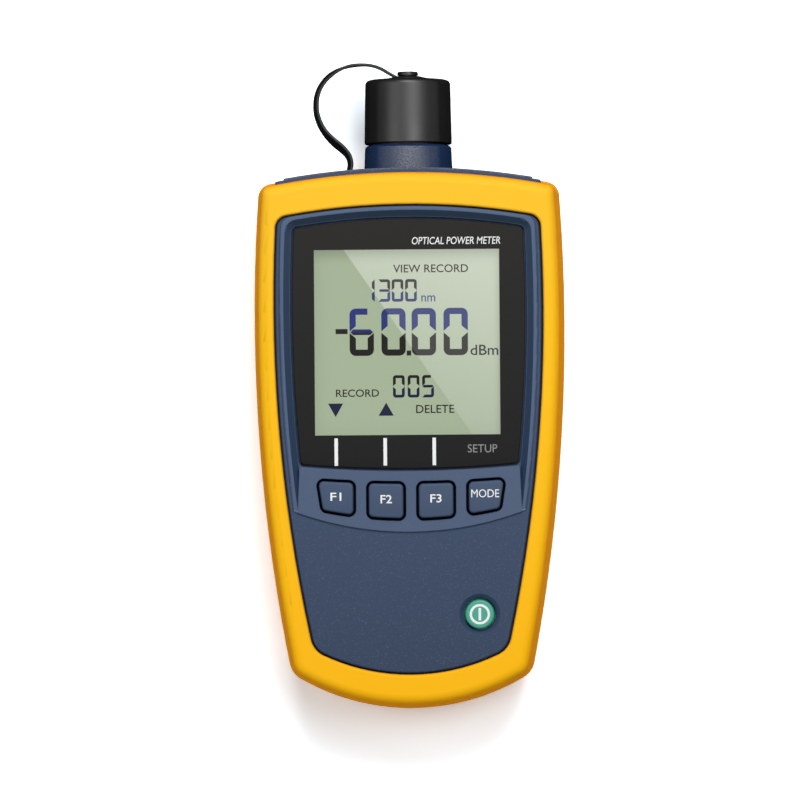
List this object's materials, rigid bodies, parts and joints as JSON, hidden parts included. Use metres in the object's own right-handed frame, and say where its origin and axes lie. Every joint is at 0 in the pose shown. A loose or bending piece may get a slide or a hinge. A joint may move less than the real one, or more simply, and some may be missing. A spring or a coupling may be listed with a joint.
{
  "type": "handheld optical power meter",
  "caption": "Handheld optical power meter in a rubber holster, with a segment display, a row of function keys, a power button, a capped fibre port and a battery cover.",
  "frame": {"origin": "middle of the outline, on the plane that the meter's back rests on", "axes": "+Z out of the display, +Y towards the optical port, +X to the right of the display"},
  "size_m": [0.081, 0.1682, 0.0389],
  "materials": {
    "holster_rubber": "matte",
    "case_plastic": "fine texture",
    "lens_plastic": "gloss",
    "display_glass": "satin",
    "guide_plastic": "satin",
    "strip_rubber": "matte",
    "frame_plastic": "matte",
    "key_rubber": "satin",
    "power_rubber": "satin",
    "mat_rubber": "matte",
    "board_laminate": "satin",
    "chip_plastic": "matte",
    "screw_steel": "plain",
    "barrel_metal": "turned",
    "can_steel": "plain",
    "flex_film": "satin",
    "adapter_steel": "turned",
    "cap_rubber": "satin",
    "cell_jacket": "gloss",
    "contact_steel": "plated"
  },
  "bodies": {
    "case": {"holster": "holster_rubber", "front_case": "case_plastic", "rear_case": "case_plastic", "port_panel": "case_plastic", "display_lens": "lens_plastic", "lcd_panel": "display_glass", "lcd_light_guide": "guide_plastic", "lcd_contact_strips": "strip_rubber", "lcd_holder": "frame_plastic", "keypad_mat": "mat_rubber", "main_board": "board_laminate", "board_chips": "chip_plastic", "board_screws": "screw_steel", "case_screws": "screw_steel", "detector_barrel": "barrel_metal", "photodiode": "can_steel", "detector_flex": "flex_film", "fibre_adapter": "adapter_steel", "cap_tether": "cap_rubber", "battery_left": "cell_jacket", "battery_right": "cell_jacket", "battery_contacts": "contact_steel", "battery_bridge": "contact_steel"},
    "cap": {"dust_cap": "cap_rubber"},
    "cover": {"battery_cover": "case_plastic"},
    "key_f1_body": {"key_f1": "key_rubber"},
    "key_f2_body": {"key_f2": "key_rubber"},
    "key_f3_body": {"key_f3": "key_rubber"},
    "key_mode_body": {"key_mode": "key_rubber"},
    "power_button_body": {"power_button": "power_rubber"}
  },
  "joints": [
    {"name": "cap_pull", "type": "slide", "parent": "case", "child": "cap", "axis": [0, 1, 0], "range_m": [0, 0.02], "deforming": ["cap_tether"]},
    {"name": "cover_hinge", "type": "hinge", "parent": "case", "child": "cover", "pos_m": [0, -0.06797, 0.001], "axis": [-1, 0, 0], "range_deg": [0, 60]},
    {"name": "key_f1_press", "type": "slide", "parent": "case", "child": "key_f1_body", "axis": [0, 0, -1], "range_m": [0, 0.001], "stiffness_N_per_m": 1500},
    {"name": "key_f2_press", "type": "slide", "parent": "case", "child": "key_f2_body", "axis": [0, 0, -1], "range_m": [0, 0.001], "stiffness_N_per_m": 1500},
    {"name": "key_f3_press", "type": "slide", "parent": "case", "child": "key_f3_body", "axis": [0, 0, -1], "range_m": [0, 0.001], "stiffness_N_per_m": 1500},
    {"name": "key_mode_press", "type": "slide", "parent": "case", "child": "key_mode_body", "axis": [0, 0, -1], "range_m": [0, 0.001], "stiffness_N_per_m": 1500},
    {"name": "power_press", "type": "slide", "parent": "case", "child": "power_button_body", "axis": [0, 0, -1], "range_m": [0, 0.001], "stiffness_N_per_m": 1500}
  ]
}
